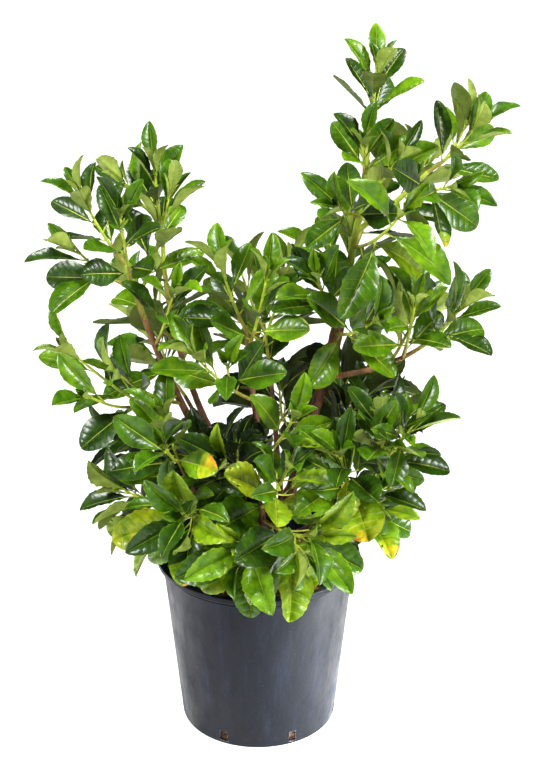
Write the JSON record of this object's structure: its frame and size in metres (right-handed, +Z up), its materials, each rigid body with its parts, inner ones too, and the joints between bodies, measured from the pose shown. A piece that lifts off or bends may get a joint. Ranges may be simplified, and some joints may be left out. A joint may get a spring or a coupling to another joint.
{
  "type": "potted cherry laurel shrub",
  "caption": "Young evergreen cherry laurel with several upright stems and glossy leaves, growing in a round plastic nursery pot filled with soil.",
  "frame": {"origin": "centre of the pot's flat underside, on the surface it stands on", "axes": "+Z up along the pot's axis towards the top of the shrub, -Y towards the viewer of the front, +X to the viewer's right"},
  "size_m": [0.6277, 0.5438, 0.9886],
  "materials": {
    "pot_plastic": "satin",
    "potting_soil": "matte",
    "bark": "matte",
    "foliage": "satin"
  },
  "bodies": {
    "root": {"back_bough": "bark", "back_left": "foliage", "back_left_bough": "bark", "back_left_low": "foliage", "back_low": "foliage", "back_right": "foliage", "back_right_low": "foliage", "back_top": "foliage", "centre_back": "foliage", "centre_front": "foliage", "centre_left": "foliage", "centre_low": "foliage", "centre_right": "foliage", "centre_top_left": "foliage", "centre_top_right": "foliage", "front_bough": "bark", "front_hub": "foliage", "front_left": "foliage", "front_middle": "foliage", "front_right": "foliage", "leader_back": "foliage", "leader_left": "foliage", "leader_right": "foliage", "leader_tip": "foliage", "leader_west": "foliage", "left_back_bough": "bark", "left_bough": "bark", "left_far": "foliage", "left_inner": "foliage", "left_low_bough": "bark", "left_low_side": "foliage", "left_low_tip": "foliage", "left_mid_back": "foliage", "left_mid_front": "foliage", "left_out_tip": "foliage", "left_top_back": "foliage", "left_top_east": "foliage", "left_top_front": "foliage", "left_top_west": "foliage", "middle_bough": "bark", "pot": "pot_plastic", "right_back_bough": "bark", "right_back_fork": "foliage", "right_bough": "bark", "right_fork": "foliage", "right_hanging": "foliage", "right_inner": "foliage", "right_low_bough": "bark", "right_low_drop": "foliage", "right_low_front": "foliage", "right_low_side": "foliage", "right_low_tip": "foliage", "right_mid_back": "foliage", "right_mid_bough": "bark", "right_mid_fork": "foliage", "right_mid_tip": "foliage", "right_tip": "foliage", "soil": "potting_soil", "trunk": "bark"}
  },
  "joints": []
}
